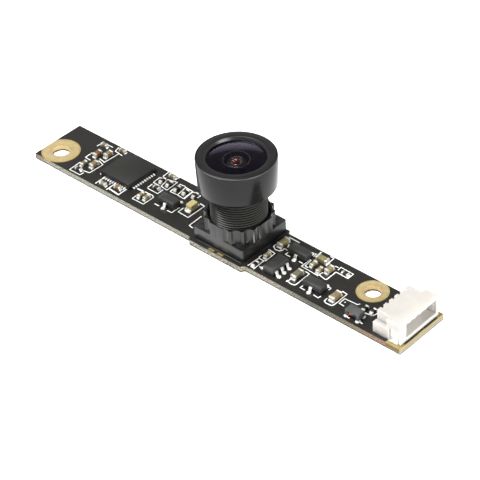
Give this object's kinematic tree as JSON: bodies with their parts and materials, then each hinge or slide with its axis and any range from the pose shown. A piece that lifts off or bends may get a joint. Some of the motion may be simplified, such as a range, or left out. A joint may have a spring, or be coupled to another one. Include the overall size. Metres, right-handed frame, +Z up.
{
  "type": "board camera module",
  "caption": "Strip circuit board with a screw-in lens in a square holder, a leadless controller, power parts, an indicator lamp and a side-entry cable connector.",
  "frame": {"origin": "underside of the board, middle of its length and of its width", "axes": "+X along the board towards the cable connector, +Y across it towards the edge nearest the connector-end mounting hole, +Z up through the lens"},
  "size_m": [0.06, 0.01, 0.0127],
  "materials": {
    "solder_mask": "satin black solder mask over woven laminate",
    "gold": "bright gold plating",
    "mould": "fine matt moulding compound",
    "lead": "bright tin plating",
    "solder": "bright reflowed solder",
    "ceramic": "fired ceramic, tan to brown",
    "resistor": "black glaze",
    "lamp": "pale clear resin",
    "ferrite": "ground grey ferrite",
    "red_wire": "enamelled wire",
    "blue_wire": "enamelled wire",
    "connector_plastic": "off-white moulded, satin",
    "holder_plastic": "matt black moulded",
    "adhesive": "glossy black",
    "sensor": "polished silicon",
    "barrel": "satin black anodised",
    "spacer": "matt black",
    "lens_glass": "coated optical glass",
    "filter_glass": "blue-green absorbing glass"
  },
  "bodies": {
    "root": {"aperture_stop": "spacer", "board_hole_plating_left": "gold", "board_hole_plating_right": "gold", "capacitor_01": "ceramic", "capacitor_02": "ceramic", "capacitor_03": "ceramic", "capacitor_04": "ceramic", "capacitor_05": "ceramic", "capacitor_06": "ceramic", "capacitor_07": "ceramic", "capacitor_08": "ceramic", "capacitor_09": "ceramic", "capacitor_10": "ceramic", "capacitor_11": "ceramic", "capacitor_12": "ceramic", "capacitor_13": "ceramic", "capacitor_14": "ceramic", "capacitor_15": "ceramic", "capacitor_16": "ceramic", "capacitor_17": "ceramic", "capacitor_18": "ceramic", "capacitor_19": "ceramic", "chip_end_caps": "solder", "choke_core": "ferrite", "choke_terminals": "lead", "choke_winding_a": "red_wire", "choke_winding_b": "blue_wire", "circuit_board": "solder_mask", "connector_housing": "connector_plastic", "connector_pins": "lead", "connector_tabs": "lead", "controller_body": "mould", "controller_contacts": "lead", "front_lens": "lens_glass", "front_retaining_ring": "barrel", "front_transistor_body": "mould", "front_transistor_leads": "lead", "ground_pads": "gold", "holder_adhesive": "adhesive", "image_sensor": "sensor", "infrared_filter": "filter_glass", "lamp_body": "lamp", "lamp_terminals": "lead", "left_transistor_body": "mould", "left_transistor_leads": "lead", "lens_barrel": "barrel", "lens_holder": "holder_plastic", "lens_spacers": "spacer", "rear_lens": "lens_glass", "rear_transistor_body": "mould", "rear_transistor_leads": "lead", "regulator_body": "mould", "regulator_leads": "lead", "resistor_bodies": "resistor", "second_lens": "lens_glass", "sensor_cover_glass": "lens_glass", "solder_joints": "solder"}
  },
  "joints": []
}
